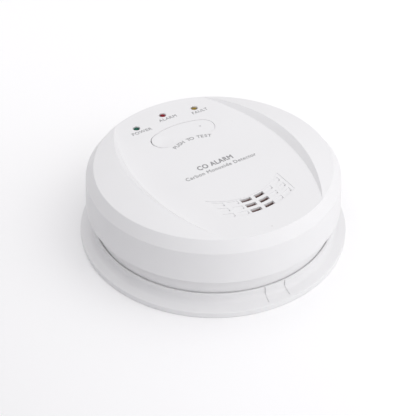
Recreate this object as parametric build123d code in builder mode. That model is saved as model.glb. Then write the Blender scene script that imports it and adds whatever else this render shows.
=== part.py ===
from build123d import *
import os
from math import atan2, cos, degrees, radians, sin, sqrt, tan

# Ceiling or wall mounted carbon monoxide detector: a round head that twists onto a mounting base.
# Millimetres. Z = 0 is the back face of the base, +Z points out of the face into the room,
# +Y points from the centre of the face towards the indicator lights.

# ---------------------------------------------------------------- driving dimensions
gap = 0.3                 # clearance between pieces that move past each other
slip = 0.05               # clearance between pieces that are fastened together
wall = 2.0                # wall of the cover and the housing

# Mounting base
floor_t = 2.5             # floor of the base
flange_w = 5.8            # flange outside the ring
flange_edge_h = 2.7       # height of the flange's outer edge
flange_root_z = 4.0       # where the flange's slope would meet the ring
cove_r = 2.6              # concave sweep from flange to ring
ring_t = 1.0              # ring around the foot of the head
ring_z = 8.2              # top of the ring
cable_hole_r = 18.0       # wires from the wall box
collar_inset = 6.4        # from the foot of the head to the collar with the bayonet ledges
collar_t = 2.0
collar_z = 9.0
slot_l = 8.0              # screw slots, end to end
slot_half_w = 2.2
slot_pitch_x = 60.3       # hole spacings of common wall boxes
slot_pitch_y = 83.3
score_w = 0.5             # score lines of the knock-out for surface cable
score_d = 0.45
score_angles = (-100.0, -90.1)

# Bayonet
lock_angles = (30.0, 150.0, 270.0)
ledge_play = 0.8          # from the ledges to the wall of the head
ledge_sweep = 18.0
ledge_t = 2.0
tab_sweep = 14.0
tab_t = 1.2
twist = 17.0              # turn that frees the head
stop_play = 0.4           # degrees left between a tab and its stops
entry_sweep = 2.0

# Head, outside
skirt_r = 55.4            # foot of the head, inside the ring
skirt_gap = 0.3
skirt_z = 4.7             # lower edge of the foot
lip_z = 16.75             # lower edge of the cover
lip_w = 3.5               # overhang of the cover beyond the foot
side_h = 15.15            # tapered side of the cover
side_draft = 1.15
bevel_w = 3.65            # bevel from side to face
bevel_h = 4.65
edge_r = 0.7              # softened creases

# Face: a flat panel between two raised, gently domed sides
panel_half_w = 36.5       # half width of the panel across the middle
panel_arc_r = 101.3       # curve of the panel's two long sides
dome_h = 6.3              # height that the dome would reach at the centre
facet_angle = 42.5        # slope of the facets beside the panel

# Sensing grille
row_r = (31.05, 34.85, 38.65)
slit_w = 2.1
open_columns = ((0.9, 5.9),)
blind_columns = ((7.1, 11.2), (13.1, 17.1))
blind_depth = 0.2
pin_hole_r = 0.35
recess_r = (29.3, 40.3)
recess_half_w = 18.9
recess_depth = 0.2

# Test button
button_r = 28.1           # centre line of the button, about the middle of the face
button_half_angle = 22.0
button_w = 11.8
button_t = 2.2
button_below = 0.1        # top of the button below the face
button_edge_r = 0.2
button_side_gap = 0.1     # room between the button and its opening
button_end_gap = 0.45     # extra room at the free end
dish_at = (-10.8, 25.2)
dish_r = 4.6
dish_depth = 0.35
dot_at = (9.85, 27.1)
dot_r = 0.4
pivot_x = 14.5
pivot_drop = 5.0          # hinge pin below the face
pin_r = 0.8
pin_run = 0.06            # running clearance of the button on its pin
pin_slip = 0.02
barrel_r = 2.0
barrel_l = 9.8
lug_t = 2.0

# Indicator lights
led_ring_r = 44.7
led_angles = (111.8, 90.6, 69.4)
led_names = ("power_led", "alarm_led", "fault_led")
led_r = 1.5
led_l = 5.3
led_proud = 0.1
led_flange_r = 1.9
led_flange_t = 1.0
led_hole_r = 1.65
led_countersink = 0.25    # widening of the hole at the face
led_lead_r = 0.25
led_lead_pitch = 2.0

# Rear housing, board and fixings
floor_z = 11.0            # underside of the housing floor
band_h = 2.5              # band that centres the cover
band_rise = 0.65          # above the cover's lower edge
standoff_h = 5.5
board_t = 1.6
board_inset = 5.4
cover_screw_inset = 12.4  # three screws, the first on +X
cover_screw_start = 0.0
post_r = 3.2
screw_r = 1.2
screw_head_r = 2.8
screw_head_t = 1.8
screw_bite = 8.0          # thread in the post
board_screw_inset = 3.5   # three screws near the board's edge
board_screw_start = 40.0
standoff_r = 2.6

# Contacts between head and base
contact_r = 38.0
contact_count = 4
contact_start = 45.0
blade_l = 6.0
blade_t = 0.8
blade_z = 5.8
fork_gap = 1.5
fork_leaf_t = 0.6
fork_z = 9.8
strip_w = 8.0
strip_t = 0.8
strip_in = 13.0           # ends of the strips from the middle of the fork
strip_out = 4.0
boss_h = 2.0
clamp_screw_r = 1.5
clamp_screw_in = 8.0      # from the middle of the fork to the screw
clamp_r = 3.4
clamp_t = 0.8
clamp_head_t = 2.0

# Components on the board
cell_at = (0.0, -35.5)
cell_r = 10.0
cell_cap_h = 1.6
gasket_t = 1.5
screen_t = 0.3
sounder_at = (26.0, -6.0)
sounder_r = 14.0
sounder_h = 8.5
sounder_hole_r = 2.2
relay_at = (-27.0, -10.0)
relay_size = (15.0, 19.0, 10.5)
chip_at = (0.0, -11.0)
chip_size = (10.0, 10.0, 1.5)
capacitor_at = ((-9.0, 9.0), (-19.0, 10.0))
capacitor_r = 4.0
capacitor_h = 10.0
resistor_at = (14.0, 14.0)
resistor_size = (3.2, 1.6, 0.6)
switch_at = (5.0, 26.05)
switch_size = (6.0, 6.0, 4.3)
plunger_r = 1.7
actuator_r = 1.6
actuator_l = 4.1
plunger_bore = 3.0
plunger_travel = 0.3

# ---------------------------------------------------------------- places that follow from them
collar_r = skirt_r - collar_inset
ledge_r = skirt_r - wall - ledge_play
cover_screw_r = skirt_r - cover_screw_inset
strip_r = (contact_r - strip_in, contact_r + strip_out)
clamp_screw_at = contact_r - clamp_screw_in
ring_in = skirt_r + skirt_gap
ring_out = ring_in + ring_t
base_r = ring_out + flange_w
lip_r = skirt_r + lip_w
shoulder_r = lip_r - side_draft
shoulder_z = lip_z + side_h
rim_r = shoulder_r - bevel_w
face_z = shoulder_z + bevel_h
under_z = face_z - wall
floor_top = floor_z + wall
board_z = floor_top + standoff_h
board_top = board_z + board_t
band_z = lip_z + band_rise
board_r = skirt_r - board_inset
board_screw_r = board_r - board_screw_inset
dome_r = (rim_r ** 2 + dome_h ** 2) / (2 * dome_h)
dome_z = face_z + dome_h - dome_r
band_r = lip_r - wall - side_draft * (band_rise + band_h) / side_h - slip
ledge_z = skirt_z + tab_t + gap
button_top = face_z - button_below
pivot_z = face_z - pivot_drop
pivot_y = button_r * sin(radians(90 - button_half_angle))
plunger_top = button_top - button_t - actuator_l - gap / 2
led_base = face_z + led_proud - led_l
screen_z = under_z - slip - screen_t
cell_z = board_top + slip
cell_top = screen_z - gasket_t - 2 * slip
strip_z = floor_t + boss_h
clamp_z = strip_z + strip_t
outwards = (Align.CENTER, Align.CENTER, Align.MIN)
inwards = (Align.CENTER, Align.CENTER, Align.MAX)


def sector(r_in, r_out, middle, sweep):
    """Ring sector about the centre of the face."""
    with BuildSketch(mode=Mode.PRIVATE) as form:
        with BuildLine():
            inner = CenterArc((0, 0), r_in, middle - sweep / 2, sweep)
            outer = CenterArc((0, 0), r_out, middle - sweep / 2, sweep)
            Line(inner @ 0, outer @ 0)
            Line(inner @ 1, outer @ 1)
        make_face()
    return form.sketch


def soften(sketch, point, radius):
    """Rounds the corner of a profile that lies nearest the point."""
    fillet(sketch.vertices().sort_by_distance(Vector(*point))[0], radius)


def finish(part, name):
    """Labels a finished piece and writes it."""
    part.label = name
    export_step(part, "parts/" + name + ".step")


os.makedirs("parts", exist_ok=True)

# ---------------------------------------------------------------- mounting base
base_outline = [
    (cable_hole_r, 0), (base_r, 0), (base_r, flange_edge_h), (ring_out + 0.2, flange_root_z),
    (ring_out, ring_z), (ring_in, ring_z), (ring_in, floor_t), (collar_r, floor_t),
    (collar_r, collar_z), (collar_r - collar_t, collar_z), (collar_r - collar_t, floor_t),
    (cable_hole_r, floor_t),
]
stop_sweep = (ledge_sweep - tab_sweep) / 2 - stop_play
entry_middle = twist + tab_sweep / 2 + stop_play + entry_sweep / 2

with BuildPart() as mounting_base:
    with BuildSketch(Plane.XZ) as profile:
        Polygon(*base_outline, align=None)
        soften(profile, (ring_out + 0.2, flange_root_z), cove_r)
        soften(profile, (base_r, flange_edge_h), 0.35)
        soften(profile, (base_r, 0), 0.3)
        soften(profile, (ring_out, ring_z), 0.55)
        soften(profile, (ring_in, ring_z), 0.25)
        soften(profile, (collar_r, collar_z), 0.4)
    revolve(axis=Axis.Z)
    # Bayonet: a ledge over each tab of the head, a stop under its end and a wall beyond the entry
    with BuildSketch(Plane.XY.offset(ledge_z)):
        for angle in lock_angles:
            add(sector(collar_r - slip, ledge_r, angle, ledge_sweep))
    extrude(amount=ledge_t)
    with BuildSketch(Plane.XY.offset(floor_t - slip)):
        for angle in lock_angles:
            add(sector(collar_r - slip, ledge_r, angle - (ledge_sweep - stop_sweep) / 2, stop_sweep))
    extrude(amount=ledge_z - floor_t + 2 * slip)
    with BuildSketch(Plane.XY.offset(floor_t - slip)):
        for angle in lock_angles:
            add(sector(collar_r - slip, ledge_r, angle + entry_middle, entry_sweep))
    extrude(amount=collar_z - floor_t - 1)
    # Bosses under the terminals, and a rim round the cable hole
    with BuildSketch(Plane.XY.offset(floor_t - slip)):
        with PolarLocations(sum(strip_r) / 2, contact_count, contact_start):
            RectangleRounded(strip_r[1] - strip_r[0] + 2, strip_w + 2, 1)
    extrude(amount=boss_h + slip)
    with BuildSketch(Plane.XY.offset(floor_t - slip)):
        Circle(cable_hole_r + 1.5)
        Circle(cable_hole_r, mode=Mode.SUBTRACT)
    extrude(amount=1)
    # Screw slots
    with BuildSketch(Plane.XY):
        with GridLocations(slot_pitch_x, 0, 2, 1):
            SlotOverall(slot_l, 2 * slot_half_w)
        with GridLocations(0, slot_pitch_y, 1, 2):
            SlotOverall(slot_l, 2 * slot_half_w, rotation=90)
    extrude(amount=floor_t, mode=Mode.SUBTRACT)
    # Blind holes for the terminal screws
    with BuildSketch(Plane.XY.offset(strip_z)):
        with PolarLocations(clamp_screw_at, contact_count, contact_start):
            Circle(clamp_screw_r + slip)
    extrude(amount=-boss_h - 1.5, mode=Mode.SUBTRACT)
    # Score lines of the cable knock-out, down the ring and over two thirds of the flange
    for angle in score_angles:
        radial = Vector(cos(radians(angle)), sin(radians(angle)), 0)
        with BuildSketch(Plane((0, 0, 0), x_dir=radial, z_dir=radial.cross(Vector(0, 0, 1)))):
            Polygon(
                (ring_out - score_d, ring_z + 1), (ring_out - score_d + 0.15, flange_root_z + 1.4),
                (ring_out + 0.55, flange_root_z + 0.2), (ring_out + 1.7, flange_root_z - 0.5),
                (ring_out + 3.9, flange_edge_h + 0.15), (ring_out + 4.2, flange_edge_h + 1.6),
                (ring_out + 1.5, ring_z + 1), align=None,
            )
        extrude(amount=score_w / 2, both=True, mode=Mode.SUBTRACT)
finish(mounting_base.part, "mounting_base")

# ---------------------------------------------------------------- terminals on the base
with BuildPart() as terminal_clips:
    with BuildSketch(Plane.XY.offset(strip_z + slip)):
        with PolarLocations(sum(strip_r) / 2, contact_count, contact_start):
            RectangleRounded(strip_r[1] - strip_r[0], strip_w, 0.8)
        with PolarLocations(clamp_screw_at, contact_count, contact_start):
            Circle(clamp_screw_r + slip, mode=Mode.SUBTRACT)
    extrude(amount=strip_t - slip)
    with BuildSketch(Plane.XY.offset(clamp_z - slip)):
        for side in (-1, 1):
            leaf_r = contact_r + side * (fork_gap + fork_leaf_t) / 2
            with PolarLocations(leaf_r, contact_count, contact_start):
                Rectangle(fork_leaf_t, blade_l)
    extrude(amount=fork_z - clamp_z + slip)
finish(terminal_clips.part, "terminal_clips")

with BuildPart() as wire_clamps:
    with BuildSketch(Plane.XY.offset(clamp_z + slip)):
        with PolarLocations(clamp_screw_at, contact_count, contact_start):
            RectangleRounded(2 * clamp_r, 2 * clamp_r, 0.7)
            Circle(clamp_screw_r + slip, mode=Mode.SUBTRACT)
    extrude(amount=clamp_t)
finish(wire_clamps.part, "wire_clamps")

head_z = clamp_z + clamp_t + 2 * slip
with BuildPart(Plane.XY.offset(head_z)) as terminal_screws:
    with PolarLocations(clamp_screw_at, contact_count, contact_start):
        Cylinder(clamp_screw_r + 1.3, clamp_head_t, align=outwards)
        Cylinder(clamp_screw_r, head_z - strip_z + boss_h + 1.2, align=inwards)
    chamfer(terminal_screws.edges().group_by(Axis.Z)[-1], 0.35)
    with BuildSketch(Plane.XY.offset(head_z + clamp_head_t)):
        with PolarLocations(clamp_screw_at, contact_count, contact_start):
            Rectangle(4.2, 0.8)
            Rectangle(0.8, 4.2)
    extrude(amount=-0.9, mode=Mode.SUBTRACT)
finish(terminal_screws.part, "terminal_screws")


# ---------------------------------------------------------------- front cover
def panel_cutter(inset):
    """What is cut away above the flat panel: the overlap of two cones with axes far to each side."""
    spread = 1 / tan(radians(facet_angle))
    low_r = panel_arc_r + inset / sin(radians(facet_angle)) - inset * spread
    depth = 2 * dome_h
    offset_x = panel_arc_r - panel_half_w
    with BuildPart(mode=Mode.PRIVATE) as form:
        with Locations((-offset_x, 0, face_z - inset)):
            Cone(low_r, low_r + depth * spread, depth, align=outwards)
        with Locations((offset_x, 0, face_z - inset)):
            Cone(low_r, low_r + depth * spread, depth, align=outwards, mode=Mode.INTERSECT)
    return form.part


def face_form(inset):
    """Solid of the cover's outside, or of its hollow when inset by the wall."""
    bevel = degrees(atan2(bevel_h, bevel_w))
    side = degrees(atan2(side_h, side_draft))
    foot = (lip_r - inset, lip_z)
    shoulder = (shoulder_r - inset, shoulder_z - inset * tan(radians((side - bevel) / 2)))
    rim_x = rim_r - inset * tan(radians(bevel / 2))
    rim = (rim_x, dome_z + sqrt((dome_r - inset) ** 2 - rim_x ** 2))
    top = (0, dome_z + dome_r - inset)
    with BuildPart(mode=Mode.PRIVATE) as form:
        with BuildSketch(Plane.XZ) as outline:
            with BuildLine():
                Polyline(top, (0, lip_z), foot, shoulder, rim)
                RadiusArc(rim, top, -(dome_r - inset))
            make_face()
            soften(outline, shoulder, edge_r)
            soften(outline, rim, edge_r)
            if inset == 0:
                soften(outline, foot, edge_r / 2)
        revolve(axis=Axis.Z)
        add(panel_cutter(inset), mode=Mode.SUBTRACT)
    return form.part


def slits(columns):
    """Grille slits: a ring sector for each row, cut to the columns on both sides of the middle."""
    with BuildSketch(mode=Mode.PRIVATE) as bars:
        for low, high in columns:
            for side in (-1, 1):
                with Locations((side * (low + high) / 2, 0)):
                    Rectangle(high - low, 3 * row_r[-1])
    with BuildSketch(mode=Mode.PRIVATE) as form:
        for r in row_r:
            add(sector(r - slit_w / 2, r + slit_w / 2, -90, 90))
        add(bars.sketch, mode=Mode.INTERSECT)
    return form.sketch


def button_outline(side_room, end_room):
    """Outline of the test button, an arc about the centre of the face with its free end on -X."""
    start = 90 - button_half_angle
    sweep = 2 * button_half_angle + degrees(end_room / button_r)
    with BuildSketch(mode=Mode.PRIVATE) as form:
        SlotArc(CenterArc((0, 0), button_r, start, sweep, mode=Mode.PRIVATE), button_w + 2 * side_room)
    return form.sketch


def led_place(angle):
    """Centre of a light, on the circle that the three share."""
    return led_ring_r * cos(radians(angle)), led_ring_r * sin(radians(angle))


outside = face_form(0)
with BuildPart() as hollow:
    add(face_form(wall))
    # The hollow leaves out the posts that take the cover screws
    with BuildSketch(Plane.XY.offset(lip_z - 1)):
        with PolarLocations(cover_screw_r, 3, cover_screw_start):
            Circle(post_r)
    extrude(amount=face_z + dome_h - lip_z, mode=Mode.SUBTRACT)

with BuildPart() as front_cover:
    add(outside)
    add(hollow.part, mode=Mode.SUBTRACT)
    with BuildSketch(Plane.XY.offset(floor_top + slip)):
        with PolarLocations(cover_screw_r, 3, cover_screw_start):
            Circle(post_r)
    extrude(amount=lip_z + 1 - floor_top)
    with BuildSketch(Plane.XY.offset(floor_top + slip)):
        with PolarLocations(cover_screw_r, 3, cover_screw_start):
            Circle(screw_r + slip)
    extrude(amount=screw_bite + 1, mode=Mode.SUBTRACT)
    # Lugs for the button's pin
    for side in (-1, 1):
        with Locations((pivot_x, pivot_y + side * (barrel_l / 2 + gap + lug_t / 2), under_z + 0.5)):
            Box(2 * barrel_r, lug_t, under_z + 0.5 - pivot_z + barrel_r, align=inwards)
    with Locations((pivot_x, pivot_y, pivot_z)):
        Cylinder(pin_r + pin_slip, barrel_l + 2 * (gap + lug_t) + 1, rotation=(90, 0, 0), mode=Mode.SUBTRACT)
    # Opening for the button
    with BuildSketch(Plane.XY.offset(under_z - 1)):
        add(button_outline(button_side_gap, button_end_gap))
    extrude(amount=wall + 2, mode=Mode.SUBTRACT)
    # Grille: a shallow recess, slits right through in the middle, blind ones with a pin hole outside
    with BuildSketch(Plane.XY.offset(face_z)):
        add(sector(recess_r[0], recess_r[1], -90, 100))
        Rectangle(2 * recess_half_w, 3 * recess_r[1], mode=Mode.INTERSECT)
    extrude(amount=-recess_depth, mode=Mode.SUBTRACT)
    with BuildSketch(Plane.XY.offset(face_z)):
        add(slits(blind_columns))
    extrude(amount=-recess_depth - blind_depth, mode=Mode.SUBTRACT)
    with BuildSketch(Plane.XY.offset(face_z)):
        add(slits(open_columns))
        for r in row_r:
            for low, high in blind_columns:
                for x in (-low - pin_hole_r, high - pin_hole_r):
                    with Locations((x, -sqrt((r + slit_w / 2 - pin_hole_r) ** 2 - x ** 2))):
                        Circle(pin_hole_r - slip)
    extrude(amount=-2 * wall, mode=Mode.SUBTRACT)
    # Holes for the lights
    with Locations(Plane.XY.offset(face_z)):
        with Locations(*[led_place(angle) for angle in led_angles]):
            CounterSinkHole(led_hole_r, led_hole_r + led_countersink, depth=2 * wall)
finish(front_cover.part, "front_cover")

# ---------------------------------------------------------------- rear housing
with BuildPart() as rear_housing:
    with BuildSketch(Plane.XZ) as profile:
        Polygon(
            (0, floor_z), (skirt_r - wall, floor_z), (skirt_r - wall, skirt_z), (skirt_r, skirt_z),
            (skirt_r, band_z), (band_r, band_z), (band_r, band_z + band_h),
            (skirt_r - wall, band_z + band_h), (skirt_r - wall, floor_top), (0, floor_top), align=None,
        )
        soften(profile, (skirt_r, skirt_z), 0.4)
        soften(profile, (band_r, band_z + band_h), 0.4)
    revolve(axis=Axis.Z)
    # Bayonet tabs
    with BuildSketch(Plane.XY.offset(skirt_z)):
        for angle in lock_angles:
            add(sector(collar_r + 2 * gap, skirt_r - wall + 0.5, angle, tab_sweep))
    extrude(amount=tab_t)
    # Posts that carry the board
    with BuildSketch(Plane.XY.offset(floor_top - 0.5)):
        with PolarLocations(board_screw_r, 3, board_screw_start):
            Circle(standoff_r)
    extrude(amount=standoff_h + 0.5 - slip)
    with BuildSketch(Plane.XY.offset(board_z)):
        with PolarLocations(board_screw_r, 3, board_screw_start):
            Circle(screw_r + slip)
    extrude(amount=-standoff_h, mode=Mode.SUBTRACT)
    # Holes for the cover screws and slots for the contact blades
    with BuildSketch(Plane.XY.offset(floor_z)):
        with PolarLocations(cover_screw_r, 3, cover_screw_start):
            Circle(screw_r + 2 * slip)
        with PolarLocations(contact_r, contact_count, contact_start):
            Rectangle(blade_t + gap, blade_l + gap)
    extrude(amount=wall, mode=Mode.SUBTRACT)
finish(rear_housing.part, "rear_housing")

with BuildPart() as rating_label:
    with BuildSketch(Plane.XY.offset(floor_z - slip)):
        RectangleRounded(26, 17, 1.5)
    extrude(amount=-0.15)
finish(rating_label.part, "rating_label")

# ---------------------------------------------------------------- circuit board and contact blades
with BuildPart() as circuit_board:
    with BuildSketch(Plane.XY.offset(board_z)):
        Circle(board_r)
        with PolarLocations(cover_screw_r, 3, cover_screw_start):
            Circle(post_r + gap, mode=Mode.SUBTRACT)
        with PolarLocations(board_screw_r, 3, board_screw_start):
            Circle(screw_r + 2 * slip, mode=Mode.SUBTRACT)
        with PolarLocations(contact_r, contact_count, contact_start):
            Rectangle(blade_t + 2 * slip, blade_l + 2 * slip, mode=Mode.SUBTRACT)
    extrude(amount=board_t)
finish(circuit_board.part, "circuit_board")

with BuildPart() as contact_blades:
    with BuildSketch(Plane.XY.offset(blade_z)):
        with PolarLocations(contact_r, contact_count, contact_start):
            Rectangle(blade_t, blade_l)
    extrude(amount=board_top + 0.9 - blade_z)
finish(contact_blades.part, "contact_blades")

# ---------------------------------------------------------------- sensing cell, gasket and screen
with BuildPart() as sensor_cell:
    with Locations((*cell_at, cell_z)):
        Cylinder(cell_r, cell_top - cell_cap_h - cell_z, align=outwards)
    fillet(sensor_cell.edges().group_by(Axis.Z)[-1], 0.5)
    with Locations((*cell_at, cell_z)):
        Cylinder(cell_r - 1.2, cell_top - cell_z, align=outwards)
    with Locations((*cell_at, cell_top)):
        Cylinder(1.2, 0.8, align=inwards, mode=Mode.SUBTRACT)
finish(sensor_cell.part, "sensor_cell")

with BuildPart() as sensor_gasket:
    with BuildSketch(Plane((*cell_at, cell_top + slip))):
        Circle(cell_r - 1.2)
        Circle(cell_r - 3.5, mode=Mode.SUBTRACT)
    extrude(amount=gasket_t)
finish(sensor_gasket.part, "sensor_gasket")

with BuildPart() as insect_screen:
    with BuildSketch(Plane.XY.offset(screen_z)):
        add(sector(recess_r[0] - 0.5, recess_r[1] + 0.5, -90, 100))
        Rectangle(2 * blind_columns[-1][1] + 1, 3 * recess_r[1], mode=Mode.INTERSECT)
    extrude(amount=screen_t)
finish(insect_screen.part, "insect_screen")

# ---------------------------------------------------------------- sounder
with BuildPart() as sounder_case:
    with Locations((*sounder_at, board_top + slip)):
        Cylinder(sounder_r, sounder_h, align=outwards)
    fillet(sounder_case.edges().group_by(Axis.Z)[-1], 0.8)
    with Locations((*sounder_at, board_top + slip)):
        Cylinder(sounder_r - 1.2, sounder_h - 1.2, align=outwards, mode=Mode.SUBTRACT)
        Cylinder(sounder_hole_r, sounder_h, align=outwards, mode=Mode.SUBTRACT)
    with BuildSketch(Plane((*sounder_at, board_top + slip))):
        Circle(sounder_r - 1.1)
        Circle(sounder_r - 2.4, mode=Mode.SUBTRACT)
    extrude(amount=sounder_h / 2)
finish(sounder_case.part, "sounder_case")

with BuildPart() as sounder_disc:
    with Locations((*sounder_at, board_top + sounder_h / 2 + 2 * slip)):
        Cylinder(sounder_r - 1.2 - 2 * slip, 0.3, align=outwards)
        Cylinder(sounder_r - 4, 0.5, align=outwards)
finish(sounder_disc.part, "sounder_disc")

# ---------------------------------------------------------------- indicator lights
for name, angle in zip(led_names, led_angles):
    with BuildPart(Plane((*led_place(angle), led_base))) as light:
        Cylinder(led_flange_r, led_flange_t, align=outwards)
        Cylinder(led_r, led_l - led_r, align=outwards)
        with Locations((0, 0, led_l - led_r)):
            Sphere(led_r)
        with GridLocations(led_lead_pitch, 0, 2, 1):
            Cylinder(led_lead_r, led_base - board_top - slip, align=inwards)
    finish(light.part, name)

with BuildPart() as led_spacers:
    for angle in led_angles:
        with BuildSketch(Plane((*led_place(angle), board_top + slip))):
            Circle(led_flange_r)
            with GridLocations(led_lead_pitch, 0, 2, 1):
                Circle(led_lead_r + slip, mode=Mode.SUBTRACT)
        extrude(amount=led_base - board_top - 2 * slip)
finish(led_spacers.part, "led_spacers")

# ---------------------------------------------------------------- other components on the board
with BuildPart() as relay:
    with Locations((*relay_at, board_top + slip)):
        Box(*relay_size, align=outwards)
    fillet(relay.edges().filter_by(Axis.Z), 0.8)
    chamfer(relay.edges().group_by(Axis.Z)[-1], 0.3)
finish(relay.part, "relay")

with BuildPart() as controller_chip:
    with Locations((*chip_at, board_top + 0.15)):
        Box(chip_size[0], chip_size[1], chip_size[2] - 0.1, align=outwards)
    chamfer(controller_chip.edges().group_by(Axis.Z)[-1], 0.25)
    with BuildSketch(Plane((*chip_at, board_top + slip))):
        for turn in (0, 90):
            with Locations(Location((0, 0, 0), (0, 0, turn))):
                with GridLocations(chip_size[0] / 9, chip_size[1] + 1.2, 8, 2):
                    Rectangle(0.4, 1.6)
    extrude(amount=0.5)
finish(controller_chip.part, "controller_chip")

with BuildPart(Plane.XY.offset(board_top + slip)) as capacitors:
    with Locations(*capacitor_at):
        Cylinder(capacitor_r, capacitor_h, align=outwards)
    fillet(capacitors.edges().group_by(Axis.Z)[-1], 0.6)
finish(capacitors.part, "capacitors")

with BuildPart(Plane((*resistor_at, board_top + slip))) as chip_resistors:
    with GridLocations(2 * resistor_size[0], 2 * resistor_size[1], 3, 3):
        Box(*resistor_size, align=outwards)
finish(chip_resistors.part, "chip_resistors")

# ---------------------------------------------------------------- screws of the head
with BuildPart(Plane.XY.offset(floor_z - slip)) as housing_screws:
    with PolarLocations(cover_screw_r, 3, cover_screw_start):
        Cylinder(screw_head_r, screw_head_t, align=inwards)
        Cylinder(screw_r, wall + slip + screw_bite, align=outwards)
    chamfer(housing_screws.edges().group_by(Axis.Z)[0], 0.4)
    with BuildSketch(Plane.XY.offset(floor_z - slip - screw_head_t)):
        with PolarLocations(cover_screw_r, 3, cover_screw_start):
            Rectangle(3.6, 0.7)
            Rectangle(0.7, 3.6)
    extrude(amount=0.9, mode=Mode.SUBTRACT)
finish(housing_screws.part, "housing_screws")

with BuildPart(Plane.XY.offset(board_top + slip)) as board_screws:
    with PolarLocations(board_screw_r, 3, board_screw_start):
        Cylinder(screw_head_r - 0.4, screw_head_t, align=outwards)
        Cylinder(screw_r, board_t + standoff_h - 0.5, align=inwards)
    chamfer(board_screws.edges().group_by(Axis.Z)[-1], 0.4)
finish(board_screws.part, "board_screws")

# ---------------------------------------------------------------- test button, its pin and its switch
button_low = button_top - button_t
with BuildPart() as test_button:
    with BuildSketch(Plane.XY.offset(button_low)):
        add(button_outline(0, 0))
    extrude(amount=button_t)
    fillet(test_button.edges().group_by(Axis.Z)[-1], button_edge_r)
    # Barrel on the hinge pin, and the post that presses the switch
    with Locations((pivot_x, pivot_y, button_low + slip)):
        Box(2 * barrel_r - 0.6, barrel_l, button_low + slip - pivot_z, align=inwards)
    with Locations((pivot_x, pivot_y, pivot_z)):
        Cylinder(barrel_r, barrel_l, rotation=(90, 0, 0))
        Cylinder(pin_r + pin_run, barrel_l + 1, rotation=(90, 0, 0), mode=Mode.SUBTRACT)
    with Locations((*switch_at, button_low + 0.5)):
        Cylinder(actuator_r, actuator_l + 0.5, align=inwards)
    # Finger dish at the free end and a small dot near the hinge
    dish_ball_r = (dish_r ** 2 + dish_depth ** 2) / (2 * dish_depth)
    with Locations((*dish_at, button_top + dish_ball_r - dish_depth)):
        Sphere(dish_ball_r, mode=Mode.SUBTRACT)
    with Locations((*dot_at, button_top)):
        Cylinder(dot_r, 0.8, align=inwards, mode=Mode.SUBTRACT)
finish(test_button.part, "test_button")

with BuildPart() as hinge_pin:
    with Locations((pivot_x, pivot_y, pivot_z)):
        Cylinder(pin_r, barrel_l + 2 * (gap + lug_t), rotation=(90, 0, 0))
finish(hinge_pin.part, "hinge_pin")

switch_top = board_top + slip + switch_size[2]
with BuildPart() as switch_body:
    with Locations((*switch_at, board_top + slip)):
        Box(*switch_size, align=outwards)
    chamfer(switch_body.edges().group_by(Axis.Z)[-1], 0.25)
    with Locations((*switch_at, switch_top)):
        Cylinder(plunger_r + gap / 2, plunger_bore, align=inwards, mode=Mode.SUBTRACT)
finish(switch_body.part, "switch_body")

with BuildPart() as switch_plunger:
    low = switch_top - plunger_bore + plunger_travel + slip
    with Locations((*switch_at, low)):
        Cylinder(plunger_r, plunger_top - low, align=outwards)
    chamfer(switch_plunger.edges().group_by(Axis.Z)[-1], 0.3)
finish(switch_plunger.part, "switch_plunger")
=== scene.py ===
from math import cos, pi, radians, sin

import bmesh
import bpy
from bpy.props import FloatProperty, FloatVectorProperty, PointerProperty
from mathutils import Euler, Matrix, Vector


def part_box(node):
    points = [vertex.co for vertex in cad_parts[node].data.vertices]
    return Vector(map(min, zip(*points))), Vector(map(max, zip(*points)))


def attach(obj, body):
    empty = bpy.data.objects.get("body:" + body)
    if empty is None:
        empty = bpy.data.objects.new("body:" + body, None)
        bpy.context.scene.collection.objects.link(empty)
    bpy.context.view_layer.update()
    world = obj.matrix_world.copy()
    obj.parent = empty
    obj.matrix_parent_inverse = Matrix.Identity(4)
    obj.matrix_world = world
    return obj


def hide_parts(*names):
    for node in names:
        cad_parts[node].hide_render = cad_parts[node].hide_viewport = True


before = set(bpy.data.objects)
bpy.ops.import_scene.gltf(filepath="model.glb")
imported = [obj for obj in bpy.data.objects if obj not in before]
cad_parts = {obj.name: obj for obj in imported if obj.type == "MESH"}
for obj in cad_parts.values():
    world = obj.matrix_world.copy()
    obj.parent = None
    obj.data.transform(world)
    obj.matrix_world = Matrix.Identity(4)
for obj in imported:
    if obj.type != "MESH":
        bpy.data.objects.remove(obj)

bl_info = {
    "name": "Carbon monoxide detector",
    "version": (1, 0, 0),
    "blender": (4, 5, 0),
    "location": "View3D > Sidebar > Detector",
    "description": "Finishes, print, insect mesh and studio of a twist-lock carbon monoxide detector",
    "category": "Object",
}

MM = 0.001

# Mouldings
SOFT_EDGE = 0.35 * MM       # look of the edges of base and housing
FINE_EDGE = 0.12 * MM       # look of the edges of cover and button
SLOT_SHADE_TOP = 0.9 * MM       # height above the insect screen where the painted shade on the slot walls ends and they turn white
SLOT_BLEND = 0.3 * MM
# colour of the painted shade, brown like the coated mesh, deep in the vent slots
SLOT_SHADE_COLOUR = (0.46, 0.315, 0.3)

# Insect mesh
WIRE_R = 0.06 * MM
CRIMP = 0.9                 # rise of a wire over the next one, in wire radii

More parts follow.
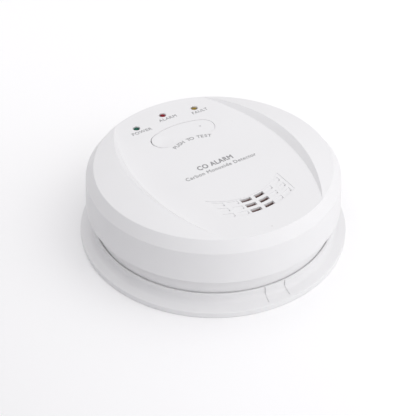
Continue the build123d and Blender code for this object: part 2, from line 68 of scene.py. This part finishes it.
# Print
FACE_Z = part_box("test_button")[1].z + 0.1 * MM
PRINT_GAP = 0.01 * MM
INK_STEP = 0.001 * MM       # between the copies that make a letter bold
FONT_CAP = 0.729            # height of a capital in the built-in font at size 1
FONT_EXTRUDE = 0.01         # half the thickness of a letter at size 1
INK_T = 0.04 * MM
LETTER_SPACING = 1.12
LIGHT_WORDS = (             # word, its light, width, shift to the right of the light
    ("POWER", "power_led", 10.3 * MM, 0.8 * MM),
    ("ALARM", "alarm_led", 9.5 * MM, 0.6 * MM),
    ("FAULT", "fault_led", 8.4 * MM, 0.9 * MM),
)
LIGHT_WORD_WEIGHT = 0.035 * MM
TEST_ARC_R = 19.25 * MM     # baseline of the words under the button
TEST_ARC_SWEEP = radians(55)
TEST_CAP = 2.2 * MM
TEST_WEIGHT = 0.04 * MM
TITLE_LINES = (             # piece, words, middle, baseline, cap height, width, weight
    ("print_title", "CO ALARM", -0.2 * MM, -2.8 * MM, 3.0 * MM, 18.2 * MM, 0.13 * MM),
    ("print_subtitle", "Carbon Monoxide Detector", 0.5 * MM, -6.6 * MM, 2.2 * MM, 37 * MM, 0.045 * MM),
)

# Studio
FLOOR_HALF = 3
FLOOR_DROP = 0.05 * MM
CARD_W = 0.5
CARD_H = 0.2
CARD_AWAY = 0.29
CARD_AZIMUTH = radians(192)
TENT_COLOUR = (0.995, 0.985, 1.0)
TENT_LEAST = 0.05           # brightness of the darkest part of the surroundings
KEY_WAY = (0.48, -0.6, 0.64)
KEY_AWAY = 1.1
KEY_SIZE = 0.9
CAMERA_AZIMUTH = radians(-33.2)
CAMERA_ELEVATION = 0.70133
CAMERA_AWAY = 0.43377
CAMERA_TURNS = ((0.005748, "Y"), (0.016243, "X"), (0.008092, "Z"))
CAMERA_LENS = 78.8
CAMERA_SENSOR = 36


# ------------------------------------------------------------------ helpers
def middle(node):
    """Middle of a node's box."""
    low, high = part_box(node)
    return (low + high) / 2


def mesh_piece(name, mesh, material, body):
    """A finished mesh as a piece that rides on a body."""
    piece = bpy.data.objects.new(name, mesh)
    bpy.context.scene.collection.objects.link(piece)
    mesh.materials.clear()
    mesh.materials.append(material)
    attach(piece, body)
    return piece


def studio_sheet(name, segments, size, material):
    """A flat square grid of the studio, not part of the object."""
    mesh = bpy.data.meshes.new(name)
    form = bmesh.new()
    bmesh.ops.create_grid(form, x_segments=segments, y_segments=segments, size=size)
    form.to_mesh(mesh)
    form.free()
    mesh.materials.append(material)
    sheet = bpy.data.objects.new(name, mesh)
    bpy.context.scene.collection.objects.link(sheet)
    return sheet


def paint(material, *nodes):
    """Gives CAD nodes a finish."""
    for name in nodes:
        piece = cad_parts[name]
        piece.data.materials.clear()
        piece.data.materials.append(material)


def darker(colour, share):
    """The colour with every channel taken to a share of itself, at most 1."""
    return tuple(min(1, channel * share) for channel in colour)


def calculate(tree, operation, *values):
    """A sum in a node tree; each value is a number or the output of a node."""
    node = tree.nodes.new("ShaderNodeMath")
    node.operation = operation
    for socket, value in zip(node.inputs, values):
        if isinstance(value, float):
            socket.default_value = value
        else:
            tree.links.new(value, socket)
    return node.outputs["Value"]


def along(tree, way, direction):
    """How far a node's vector goes along a fixed direction."""
    node = tree.nodes.new("ShaderNodeVectorMath")
    node.operation = "DOT_PRODUCT"
    node.inputs[1].default_value = direction
    tree.links.new(way, node.inputs[0])
    return node.outputs["Value"]


class Finish:
    """A node-built finish: the principled shader and the few nodes that vary it over the surface."""

    def __init__(self, name, colour, roughness):
        self.material = bpy.data.materials.new(name)
        self.material.use_nodes = True
        self.tree = self.material.node_tree
        self.shader = self.tree.nodes["Principled BSDF"]
        self.put("Base Color", (*colour, 1))
        self.put("Roughness", roughness)
        self.place = self.add("ShaderNodeTexCoord").outputs["Object"]
        self.bump = None

    def put(self, socket, value):
        """Sets one socket of the shader."""
        self.shader.inputs[socket].default_value = value

    def add(self, kind, **settings):
        """Adds a node."""
        node = self.tree.nodes.new(kind)
        for key, value in settings.items():
            setattr(node, key, value)
        return node

    def link(self, output, socket):
        """Joins two sockets."""
        self.tree.links.new(output, socket)

    def noise(self, size, detail=2.0, stretch=(1, 1, 1)):
        """Noise whose features are about size metres across."""
        mapping = self.add("ShaderNodeMapping")
        mapping.inputs["Scale"].default_value = [s / size for s in stretch]
        self.link(self.place, mapping.inputs["Vector"])
        noise = self.add("ShaderNodeTexNoise")
        noise.inputs["Scale"].default_value = 1
        noise.inputs["Detail"].default_value = detail
        self.link(mapping.outputs["Vector"], noise.inputs["Vector"])
        return noise.outputs["Fac"]

    def remap(self, value, source, target):
        """Value from the source range taken to the target range, clamped."""
        node = self.add("ShaderNodeMapRange")
        for key, number in zip(("From Min", "From Max", "To Min", "To Max"), (*source, *target)):
            node.inputs[key].default_value = number
        self.link(value, node.inputs["Value"])
        return node.outputs["Result"]

    def tint(self, factor, colour):
        """Mixes another colour into the base colour where factor is high."""
        mix = self.add("ShaderNodeMix", data_type="RGBA")
        base = self.shader.inputs["Base Color"]
        if base.is_linked:
            self.link(base.links[0].from_socket, mix.inputs["A"])
        else:
            mix.inputs["A"].default_value = base.default_value
        mix.inputs["B"].default_value = (*colour, 1)
        self.link(factor, mix.inputs["Factor"])
        self.link(mix.outputs["Result"], base)

    def relief(self, height, depth, strength=1.0):
        """Bump from a height, depth metres deep, over any bump already there."""
        node = self.add("ShaderNodeBump")
        node.inputs["Distance"].default_value = depth
        node.inputs["Strength"].default_value = strength
        self.link(height, node.inputs["Height"])
        if self.bump:
            self.link(self.bump, node.inputs["Normal"])
        self.bump = node.outputs["Normal"]
        self.link(self.bump, self.shader.inputs["Normal"])

    def soft_edges(self, radius):
        """Rounds the look of sharp edges; comes before any relief."""
        node = self.add("ShaderNodeBevel", samples=4)
        node.inputs["Radius"].default_value = radius
        self.bump = node.outputs["Normal"]
        self.link(self.bump, self.shader.inputs["Normal"])

    def sheen_of(self, size, low, high):
        """Roughness that wanders between low and high."""
        wander = self.remap(self.noise(size, 3), (0.35, 0.65), (low, high))
        self.link(wander, self.shader.inputs["Roughness"])


# ------------------------------------------------------------------ finishes
def moulded_white(name, colour, edge_radius):
    """White ABS with the fine texture of the mould, a few faint specks and slight wear of the sheen."""
    look = Finish(name, colour, 0.42)
    look.put("Specular IOR Level", 0.3)
    look.soft_edges(edge_radius)
    look.sheen_of(9 * MM, 0.38, 0.48)
    look.tint(look.remap(look.noise(30 * MM, 2), (0.4, 0.7), (0.0, 0.5)), darker(colour, 0.975))
    specks = look.add("ShaderNodeTexVoronoi")
    specks.inputs["Scale"].default_value = 1 / (11 * MM)
    look.link(look.place, specks.inputs["Vector"])
    few = look.remap(look.noise(23 * MM, 0), (0.56, 0.6), (0.0, 1.0))
    dot = look.remap(specks.outputs["Distance"], (0.02, 0.045), (0.35, 0.0))
    look.tint(calculate(look.tree, "MULTIPLY", few, dot), (0.45, 0.43, 0.41))
    look.relief(look.noise(0.35 * MM, 1), 0.004 * MM, 0.6)
    return look


def paint_slot_shade(look, low, high):
    """Paints shade, tinted brown like the coated mesh, on the lower part of the vent slots' walls, above an
    insect screen that fills low to high.
    """
    split = look.add("ShaderNodeSeparateXYZ")
    look.link(look.place, split.inputs["Vector"])
    light = high.z + SLOT_SHADE_TOP
    # painted shade: full below the top of the slot shade, fading out over the blend
    slot_shade_mask = look.remap(split.outputs["Z"], (light - SLOT_BLEND, light), (1, 0))
    for side, axis in enumerate("XY"):
        past_low = look.remap(split.outputs[axis], (low[side], low[side] + SLOT_BLEND), (0, 1))
        before_high = look.remap(split.outputs[axis], (high[side] - SLOT_BLEND, high[side]), (1, 0))
        slot_shade_mask = calculate(look.tree, "MULTIPLY", slot_shade_mask, past_low)
        slot_shade_mask = calculate(look.tree, "MULTIPLY", slot_shade_mask, before_high)
    look.tint(slot_shade_mask, SLOT_SHADE_COLOUR)


def moulded_dark(name, colour, roughness=0.5):
    """Dark moulded plastic with a fine grain."""
    look = Finish(name, colour, roughness)
    look.put("Specular IOR Level", 0.25)
    look.tint(look.remap(look.noise(2 * MM, 3), (0.4, 0.6), (0.0, 0.6)), darker(colour, 0.7))
    look.relief(look.noise(0.25 * MM, 1), 0.01 * MM)
    return look.material


def lens(name, colour, deep):
    """Tinted clear epoxy over a dark inside."""
    look = Finish(name, colour, 0.12)
    look.put("Specular IOR Level", 0.15)
    look.put("Coat Weight", 0.12)
    look.put("Coat Roughness", 0.06)
    look.tint(look.remap(look.noise(1.1 * MM, 1), (0.4, 0.62), (0.0, 1.0)), deep)
    return look.material


def plated(name, colour, roughness):
    """Plated or stamped metal with fine marks."""
    look = Finish(name, colour, roughness)
    look.put("Metallic", 1.0)
    look.sheen_of(1.2 * MM, roughness * 0.8, roughness * 1.3)
    look.relief(look.noise(0.12 * MM, 2), 0.006 * MM)
    return look.material


def solder_resist(name):
    """Green circuit board with copper tracks under the resist."""
    look = Finish(name, (0.012, 0.11, 0.045), 0.3)
    tracks = look.add("ShaderNodeTexBrick")
    tracks.inputs["Scale"].default_value = 1 / (9 * MM)
    tracks.inputs["Mortar Size"].default_value = 0.035
    look.link(look.place, tracks.inputs["Vector"])
    look.tint(look.remap(tracks.outputs["Fac"], (0.2, 0.8), (0.0, 0.8)), (0.03, 0.2, 0.07))
    look.relief(tracks.outputs["Fac"], 0.03 * MM)
    return look.material


def printed_ink(name, colour):
    """Pad-printed grey ink, slightly uneven."""
    look = Finish(name, colour, 0.55)
    look.tint(look.remap(look.noise(0.5 * MM, 2), (0.45, 0.7), (0.0, 0.5)), darker(colour, 1.5))
    return look.material


def foam(name):
    """Closed-cell foam."""
    look = Finish(name, (0.055, 0.03, 0.026), 0.85)
    look.relief(look.noise(0.3 * MM, 3), 0.08 * MM)
    return look.material


def label_film(name):
    """Blank silver-white film."""
    look = Finish(name, (0.68, 0.68, 0.66), 0.35)
    look.relief(look.noise(1.5 * MM, 2), 0.01 * MM)
    look.tint(look.remap(look.noise(4 * MM, 2), (0.4, 0.7), (0, 0.5)), (0.6, 0.6, 0.58))
    return look.material


def studio_matt(name, colour, grain, other):
    """Matt paper or painted board, with faint clouds of another tone."""
    look = Finish(name, colour, 0.9)
    look.tint(look.remap(look.noise(grain), (0.4, 0.6), (0, 0.5)), other)
    return look


# ------------------------------------------------------------------ lettering
def letters(text, cap_height, width=0, spacing=1.0):
    """Thin letters as a mesh in the XY plane: baseline at Y = 0, centred on X, in metres."""
    curve = bpy.data.curves.new("letters", "FONT")
    curve.body = text
    curve.size = 1
    curve.space_character = spacing
    curve.extrude = FONT_EXTRUDE
    holder = bpy.data.objects.new("letters", curve)
    bpy.context.scene.collection.objects.link(holder)
    bpy.context.view_layer.update()
    shaped = holder.evaluated_get(bpy.context.evaluated_depsgraph_get())
    mesh = bpy.data.meshes.new_from_object(shaped)
    bpy.data.objects.remove(holder)
    xs = [v.co.x for v in mesh.vertices]
    upright = FONT_CAP / cap_height
    across = (max(xs) - min(xs)) / width if width else upright
    thick = INK_T / (2 * FONT_EXTRUDE)
    centre = (max(xs) + min(xs)) / 2
    scale = Matrix.Diagonal((1 / across, 1 / upright, thick, 1))
    mesh.transform(scale @ Matrix.Translation((-centre, 0, 0)))
    return mesh


def thicken(mesh, weight):
    """Bolder letters: copies of the mesh spread by the weight in metres to four sides."""
    spread = bmesh.new()
    for i, (x, y) in enumerate(((-1, 0), (1, 0), (0, -1), (0, 1))):
        copy = mesh.copy()
        copy.transform(Matrix.Translation((x * weight, y * weight, i * INK_STEP)))
        spread.from_mesh(copy)
        bpy.data.meshes.remove(copy)
    spread.to_mesh(mesh)
    spread.free()


def print_line(name, text, x, baseline, cap_height, width, weight, ink):
    """One straight printed line on the flat panel."""
    mesh = letters(text, cap_height, width, LETTER_SPACING)
    thicken(mesh, weight)
    mesh.transform(Matrix.Translation((x, baseline, FACE_Z + PRINT_GAP)))
    return mesh_piece(name, mesh, ink, "head")


def print_arc(name, text, radius, sweep, cap_height, weight, ink):
    """Letters standing on an arc about the centre of the face."""
    joined = bmesh.new()
    step = sweep / (len(text) - 1)
    for i, letter in enumerate(text):
        if letter == " ":
            continue
        mesh = letters(letter, cap_height)
        thicken(mesh, weight)
        turn = Matrix.Rotation(sweep / 2 - i * step, 4, "Z")
        mesh.transform(turn @ Matrix.Translation((0, radius, FACE_Z + PRINT_GAP)))
        joined.from_mesh(mesh)
        bpy.data.meshes.remove(mesh)
    mesh = bpy.data.meshes.new(name)
    joined.to_mesh(mesh)
    joined.free()
    return mesh_piece(name, mesh, ink, "head")


# ------------------------------------------------------------------ insect mesh
def wave_wire(form, start, along_wire, count, pitch, phase):
    """One crimped wire of a woven mesh, with a four-sided section."""
    beside = Vector((-along_wire.y, along_wire.x, 0)) * WIRE_R
    above = Vector((0, 0, WIRE_R))
    ring = []
    for i in range(count * 2 + 1):
        t = i / 2
        crimp = Vector((0, 0, WIRE_R * CRIMP * sin(pi * (t + phase))))
        centre = start + along_wire * (t * pitch) + crimp
        corners = [form.verts.new(centre + c) for c in (beside, above, -beside, -above)]
        if ring:
            for k in range(4):
                after = (k + 1) % 4
                form.faces.new((ring[k], ring[after], corners[after], corners[k]))
        else:
            form.faces.new(corners[::-1])
        ring = corners
    form.faces.new(ring)


def woven_mesh(name, low, high, pitch, material):
    """A rectangle of woven wire between two corners."""
    form = bmesh.new()
    columns = int((high.x - low.x) / pitch)
    rows = int((high.y - low.y) / pitch)
    z = (low.z + high.z) / 2
    for i in range(columns):
        start = Vector((low.x + (i + 0.5) * pitch, low.y, z))
        wave_wire(form, start, Vector((0, 1, 0)), rows, pitch, i % 2)
    for j in range(rows):
        start = Vector((low.x, low.y + (j + 0.5) * pitch, z))
        wave_wire(form, start, Vector((1, 0, 0)), columns, pitch, (j + 1) % 2)
    mesh = bpy.data.meshes.new(name)
    form.to_mesh(mesh)
    form.free()
    return mesh_piece(name, mesh, material, "head")


# ------------------------------------------------------------------ settings
class DETECTOR_looks(bpy.types.PropertyGroup):
    """Sizes and colours to change"""

    plastic: FloatVectorProperty(
        name="Plastic", description="Colour of the white shells", subtype="COLOR",
        default=(0.80, 0.80, 0.805), min=0, max=1)
    ink: FloatVectorProperty(
        name="Print", description="Colour of the printed words", subtype="COLOR",
        default=(0.27, 0.27, 0.275), min=0, max=1)
    cap_height: FloatProperty(
        name="Small letters", description="Height of capitals beside the lights", subtype="DISTANCE",
        unit="LENGTH", default=2.1 * MM, min=0.5 * MM)
    label_drop: FloatProperty(
        name="Label drop", description="From the middle of a light down to its word", subtype="DISTANCE",
        unit="LENGTH", default=4.85 * MM, min=0)
    mesh_pitch: FloatProperty(
        name="Insect mesh", description="Spacing of the wires behind the grille", subtype="DISTANCE",
        unit="LENGTH", default=0.55 * MM, min=0.3 * MM)
    key_power: FloatProperty(
        name="Key light", description="Power of the large soft light", default=1.5, min=0, unit="POWER")
    fill: FloatProperty(
        name="Surroundings", description="Brightness of the white surroundings", default=0.66, min=0)
    lean: FloatVectorProperty(
        name="Lean of the light", description="Direction in which the surroundings grow brighter",
        subtype="XYZ", default=(-0.08, -0.24, 0.57))
    side_lean: FloatVectorProperty(
        name="Lean of the low light", description="Direction in which the light near the floor grows brighter",
        subtype="XYZ", default=(0.06, -0.1, 0.0))


def looks():
    """The settings in the scene."""
    return bpy.context.scene.detector_looks


# ------------------------------------------------------------------ operators
class DETECTOR_OT_shells(bpy.types.Operator):
    """Finish the white mouldings"""
    bl_idname = "detector.shells"
    bl_label = "White mouldings"

    def execute(self, context):
        colour = tuple(looks().plastic)
        shells = moulded_white("white_abs", colour, SOFT_EDGE)
        paint(shells.material, "mounting_base", "rear_housing")
        face = moulded_white("face_abs", colour, FINE_EDGE)
        # painted shade, brown like the coated mesh, deep in the vent slots of the cover
        paint_slot_shade(face, *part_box("insect_screen"))
        paint(face.material, "front_cover", "test_button")
        return {"FINISHED"}


class DETECTOR_OT_lights(bpy.types.Operator):
    """Finish the three indicator lights and their spacers"""
    bl_idname = "detector.lights"
    bl_label = "Indicator lights"

    def execute(self, context):
        paint(lens("green_epoxy", (0.004, 0.11, 0.07), (0.002, 0.04, 0.028)), "power_led")
        paint(lens("red_epoxy", (0.28, 0.004, 0.015), (0.10, 0.002, 0.006)), "alarm_led")
        paint(lens("amber_epoxy", (0.32, 0.22, 0.03), (0.13, 0.08, 0.012)), "fault_led")
        paint(moulded_dark("spacer_nylon", (0.03, 0.03, 0.03)), "led_spacers")
        return {"FINISHED"}


class DETECTOR_OT_metalwork(bpy.types.Operator):
    """Finish terminals, contacts, sounder disc, screws and the hinge pin"""
    bl_idname = "detector.metalwork"
    bl_label = "Metalwork"

    def execute(self, context):
        brass = plated("stamped_brass", (0.75, 0.56, 0.27), 0.32)
        paint(brass, "terminal_clips", "contact_blades", "sounder_disc")
        zinc = plated("zinc_plate", (0.66, 0.68, 0.7), 0.3)
        paint(zinc, "wire_clamps", "terminal_screws", "housing_screws", "board_screws", "hinge_pin")
        return {"FINISHED"}


class DETECTOR_OT_electronics(bpy.types.Operator):
    """Finish the circuit board, what stands on it, and the rating label"""
    bl_idname = "detector.electronics"
    bl_label = "Electronics"

    def execute(self, context):
        paint(solder_resist("solder_resist"), "circuit_board")
        chip = moulded_dark("chip_epoxy", (0.015, 0.015, 0.016), 0.45)
        paint(chip, "controller_chip", "chip_resistors")
        black = moulded_dark("sounder_plastic", (0.02, 0.02, 0.021))
        paint(black, "sounder_case", "switch_body", "switch_plunger")
        paint(moulded_dark("relay_plastic", (0.03, 0.06, 0.2), 0.3), "relay")
        paint(moulded_dark("capacitor_sleeve", (0.02, 0.025, 0.07), 0.28), "capacitors")
        paint(moulded_dark("cell_plastic", (0.12, 0.055, 0.045), 0.4), "sensor_cell")
        paint(foam("gasket_foam"), "sensor_gasket")
        paint(label_film("label_film"), "rating_label")
        return {"FINISHED"}


class DETECTOR_OT_insect_mesh(bpy.types.Operator):
    """Weave the insect mesh behind the grille"""
    bl_idname = "detector.insect_mesh"
    bl_label = "Insect mesh"

    def execute(self, context):
        low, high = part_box("insect_screen")
        wire = moulded_dark("coated_wire", (0.09, 0.032, 0.026), 0.9)
        piece = woven_mesh("insect_mesh", low, high, looks().mesh_pitch, wire)
        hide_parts("insect_screen")
        return {"FINISHED"}


class DETECTOR_OT_print(bpy.types.Operator):
    """Print the plain words on the face"""
    bl_idname = "detector.print"
    bl_label = "Printed words"

    def execute(self, context):
        s = looks()
        ink = printed_ink("grey_ink", tuple(s.ink))
        for text, light, width, shift in LIGHT_WORDS:
            spot = middle(light)
            print_line("print_" + text.lower(), text, spot.x + shift, spot.y - s.label_drop,
                       s.cap_height, width, LIGHT_WORD_WEIGHT, ink)
        print_arc("print_test", "PUSH TO TEST", TEST_ARC_R, TEST_ARC_SWEEP, TEST_CAP, TEST_WEIGHT, ink)
        for line in TITLE_LINES:
            print_line(*line, ink)
        return {"FINISHED"}


class DETECTOR_OT_stage(bpy.types.Operator):
    """Set the floor, the card, the soft lights and the camera"""
    bl_idname = "detector.stage"
    bl_label = "Studio"

    def execute(self, context):
        self.floor()
        self.card()
        self.surroundings(context)
        self.key(context)
        self.camera(context)
        return {"FINISHED"}

    def floor(self):
        """Pale floor just under the base."""
        look = studio_matt("pale_floor", (0.96, 0.96, 0.96), 0.4, (0.95, 0.95, 0.955))
        look.put("Specular IOR Level", 0.2)
        floor = studio_sheet("floor", 8, FLOOR_HALF, look.material)
        floor.location.z = -FLOOR_DROP

    def card(self):
        """Dark card at the left, which keeps low light off the side of the object."""
        look = studio_matt("card", (0.08, 0.075, 0.1), 0.1, (0.07, 0.065, 0.09))
        card = studio_sheet("flag", 1, 0.5, look.material)
        card.location = (CARD_AWAY * cos(CARD_AZIMUTH), CARD_AWAY * sin(CARD_AZIMUTH), CARD_H / 2)
        card.rotation_euler = (pi / 2, 0, CARD_AZIMUTH + pi / 2)
        card.scale = (CARD_W, CARD_H, 1)
        card.visible_camera = False

    def surroundings(self, context):
        """White tent round the object, brighter the further a direction goes along the lean."""
        world = bpy.data.worlds.new("studio")
        world.use_nodes = True
        tree = world.node_tree
        background = tree.nodes["Background"]
        background.inputs["Color"].default_value = (*TENT_COLOUR, 1)
        way = tree.nodes.new("ShaderNodeTexCoord").outputs["Generated"]
        split = tree.nodes.new("ShaderNodeSeparateXYZ")
        tree.links.new(way, split.inputs["Vector"])
        low = calculate(tree, "SUBTRACT", 1.0, split.outputs["Z"])
        low_squared = calculate(tree, "MULTIPLY", low, low)
        beside = calculate(tree, "MULTIPLY", low_squared, along(tree, way, looks().side_lean))
        level = calculate(tree, "ADD", along(tree, way, looks().lean), beside)
        level = calculate(tree, "ADD", level, looks().fill)
        level = calculate(tree, "MAXIMUM", level, TENT_LEAST)
        tree.links.new(level, background.inputs["Strength"])
        context.scene.world = world
        context.scene.view_settings.view_transform = "Standard"

    def key(self, context):
        """Large soft light from the front right."""
        data = bpy.data.lights.new("key", "AREA")
        data.shape = "DISK"
        data.size = KEY_SIZE
        data.energy = looks().key_power
        key = bpy.data.objects.new("key", data)
        direction = Vector(KEY_WAY).normalized()
        key.location = direction * KEY_AWAY
        key.rotation_euler = direction.to_track_quat("Z", "Y").to_euler()
        context.scene.collection.objects.link(key)

    def camera(self, context):
        """Camera above the front left, aimed close to the middle of the object."""
        look = Euler((pi / 2 - CAMERA_ELEVATION, 0, CAMERA_AZIMUTH)).to_matrix()
        turn = Matrix.Identity(3)
        for angle, axis in CAMERA_TURNS:
            turn = turn @ Matrix.Rotation(angle, 3, axis)
        camera = bpy.data.objects.new("camera", bpy.data.cameras.new("camera"))
        camera.data.lens = CAMERA_LENS
        camera.data.sensor_width = CAMERA_SENSOR
        camera.data.clip_start = 10 * MM
        place = Matrix.Translation(look @ Vector((0, 0, CAMERA_AWAY)))
        camera.matrix_world = place @ (look @ turn).to_4x4()
        context.scene.collection.objects.link(camera)
        context.scene.camera = camera


class DETECTOR_PT_panel(bpy.types.Panel):
    """The settings and the operators in order"""
    bl_label = "Detector"
    bl_idname = "DETECTOR_PT_panel"
    bl_space_type = "VIEW_3D"
    bl_region_type = "UI"
    bl_category = "Detector"

    def draw(self, context):
        for name in DETECTOR_looks.__annotations__:
            self.layout.prop(context.scene.detector_looks, name)
        for operator in OPERATORS:
            self.layout.operator(operator.bl_idname)


OPERATORS = (
    DETECTOR_OT_shells, DETECTOR_OT_lights, DETECTOR_OT_metalwork, DETECTOR_OT_electronics,
    DETECTOR_OT_insect_mesh, DETECTOR_OT_print, DETECTOR_OT_stage,
)
CLASSES = (DETECTOR_looks, *OPERATORS, DETECTOR_PT_panel)


def register():
    for each in CLASSES:
        bpy.utils.register_class(each)
    bpy.types.Scene.detector_looks = PointerProperty(type=DETECTOR_looks)


def unregister():
    del bpy.types.Scene.detector_looks
    for each in reversed(CLASSES):
        bpy.utils.unregister_class(each)


def main():
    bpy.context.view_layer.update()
    register()
    bpy.ops.detector.shells()
    bpy.ops.detector.lights()
    bpy.ops.detector.metalwork()
    bpy.ops.detector.electronics()
    bpy.ops.detector.insect_mesh()
    bpy.ops.detector.print()
    bpy.ops.detector.stage()


if __name__ == "__main__":
    main()
